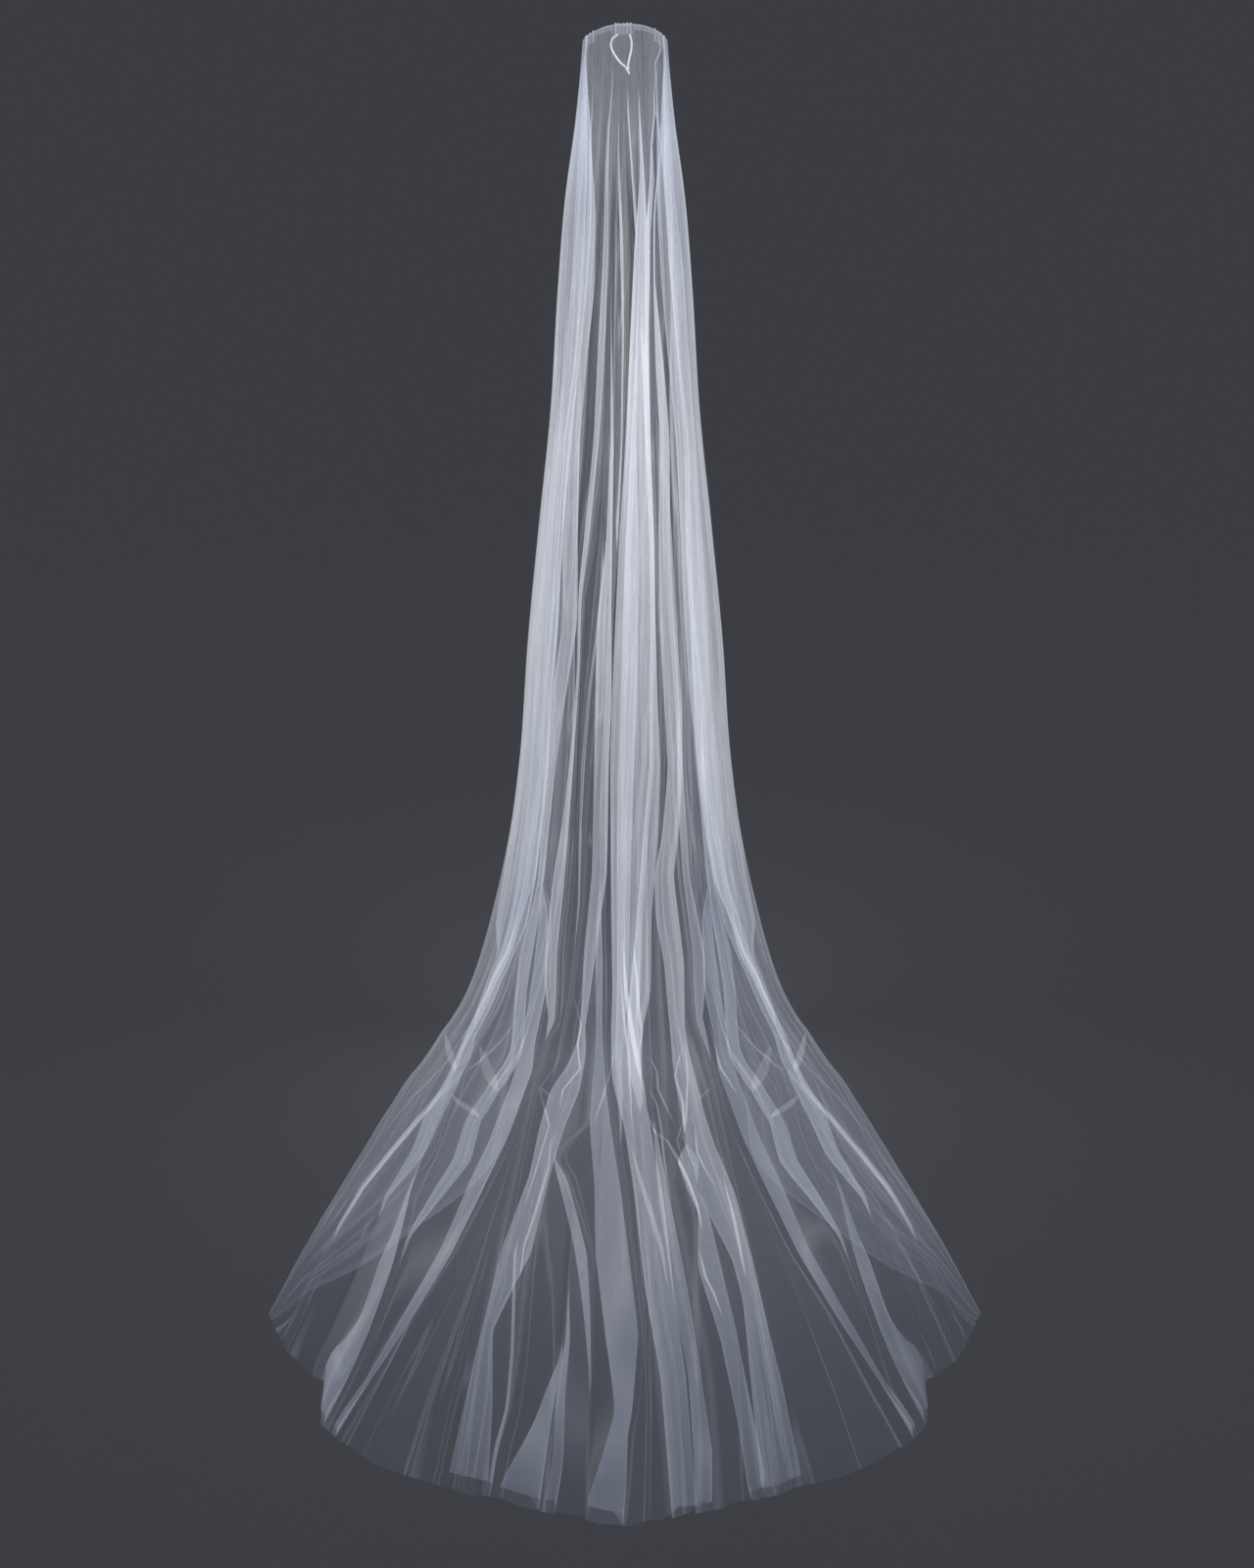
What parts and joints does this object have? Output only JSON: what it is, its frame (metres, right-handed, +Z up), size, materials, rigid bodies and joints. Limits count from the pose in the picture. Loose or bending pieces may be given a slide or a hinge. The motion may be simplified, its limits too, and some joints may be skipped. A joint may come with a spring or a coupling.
{
  "type": "cathedral-length tulle veil",
  "caption": "Soft tulle veil that hangs in folds from the crown, with a gathered heading, a ribbon loop and a long train spread on the floor.",
  "frame": {"origin": "middle of the heading, where the wearer's crown holds the veil", "axes": "+Z up, -Y the way the train runs behind the wearer, +X to the right seen from behind"},
  "size_m": [0.9756, 1.5796, 1.6601],
  "materials": {
    "tulle": "sheer soft tulle, cool white",
    "heading": "doubled and gathered tulle, cool white",
    "satin": "narrow satin ribbon, white"
  },
  "bodies": {
    "root": {"veil_panel": "tulle", "heading_band_left": "heading", "heading_band_right": "heading", "heading_tuck_left": "heading", "heading_tuck_centre": "heading", "heading_tuck_right": "heading", "loop_strand_left": "satin", "loop_strand_right": "satin", "loop_knot": "satin"}
  },
  "joints": []
}
